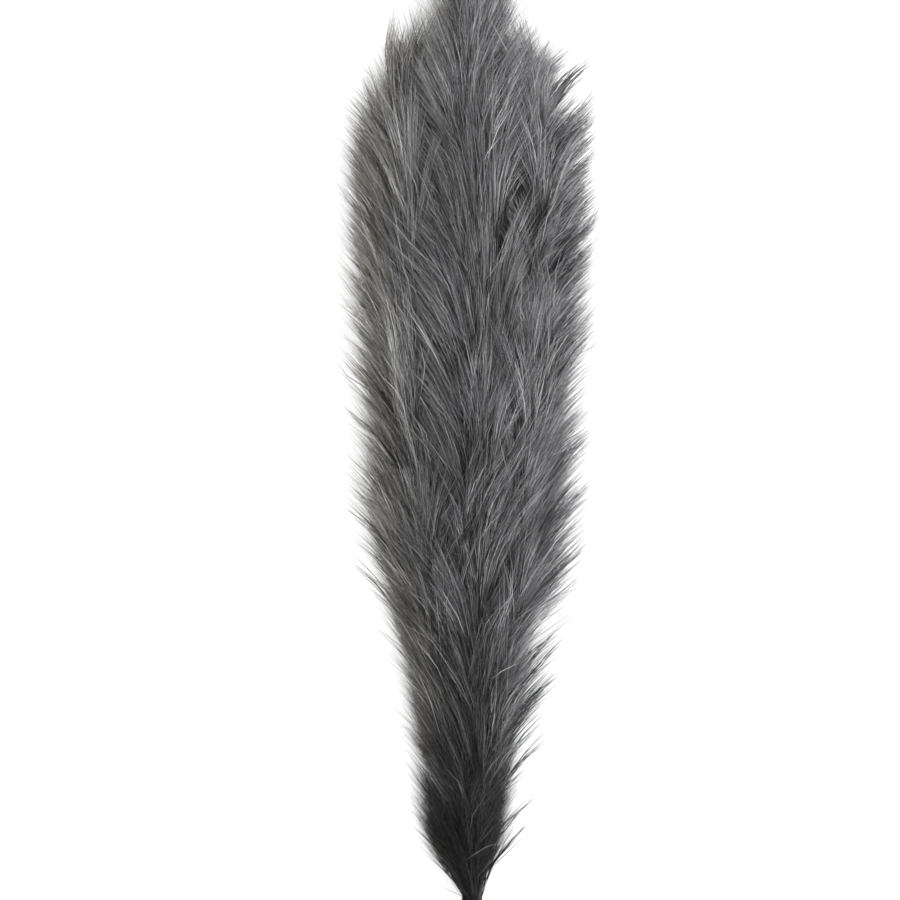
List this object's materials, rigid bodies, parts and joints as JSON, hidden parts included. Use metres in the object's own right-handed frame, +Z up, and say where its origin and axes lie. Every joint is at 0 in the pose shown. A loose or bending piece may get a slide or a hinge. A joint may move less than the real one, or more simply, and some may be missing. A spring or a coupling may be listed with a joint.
{
  "type": "bundle of pampas grass",
  "caption": "Tied bundle of dried pampas grass stalks with long, soft, dark grey plumes, lying on its side.",
  "frame": {"origin": "on the table under the middle of the whole bundle's outline", "axes": "+Z up from the table, +Y along the bundle from the cut ends towards the plumes' tips, +X to the right when seen from above with the tips pointing away"},
  "size_m": [0.1976, 1.305, 0.1204],
  "materials": {
    "hair": "fine dyed plume hair, dull with a faint sheen",
    "stem": "dyed dry grass stem, smooth and slightly ribbed",
    "twine": "twisted plant-fibre twine, rough"
  },
  "bodies": {
    "root": {"centre_branch_1": "hair", "centre_branch_10": "hair", "centre_branch_11": "hair", "centre_branch_12": "hair", "centre_branch_2": "hair", "centre_branch_3": "hair", "centre_branch_4": "hair", "centre_branch_5": "hair", "centre_branch_6": "hair", "centre_branch_7": "hair", "centre_branch_8": "hair", "centre_branch_9": "hair", "centre_stem": "stem", "centre_tip_tuft": "hair", "left_branch_1": "hair", "left_branch_2": "hair", "left_branch_3": "hair", "left_branch_4": "hair", "left_branch_5": "hair", "left_branch_6": "hair", "left_branch_7": "hair", "left_branch_8": "hair", "left_branch_9": "hair", "left_stem": "stem", "left_tip_tuft": "hair", "lower_left_branch_1": "hair", "lower_left_branch_2": "hair", "lower_left_branch_3": "hair", "lower_left_branch_4": "hair", "lower_left_branch_5": "hair", "lower_left_branch_6": "hair", "lower_left_branch_7": "hair", "lower_left_branch_8": "hair", "lower_left_branch_9": "hair", "lower_left_stem": "stem", "lower_left_tip_tuft": "hair", "lower_right_branch_1": "hair", "lower_right_branch_2": "hair", "lower_right_branch_3": "hair", "lower_right_branch_4": "hair", "lower_right_branch_5": "hair", "lower_right_branch_6": "hair", "lower_right_branch_7": "hair", "lower_right_branch_8": "hair", "lower_right_branch_9": "hair", "lower_right_stem": "stem", "lower_right_tip_tuft": "hair", "right_branch_1": "hair", "right_branch_2": "hair", "right_branch_3": "hair", "right_branch_4": "hair", "right_branch_5": "hair", "right_branch_6": "hair", "right_branch_7": "hair", "right_branch_8": "hair", "right_branch_9": "hair", "right_stem": "stem", "right_tip_tuft": "hair", "tie": "twine", "tie_knot": "twine"}
  },
  "joints": []
}
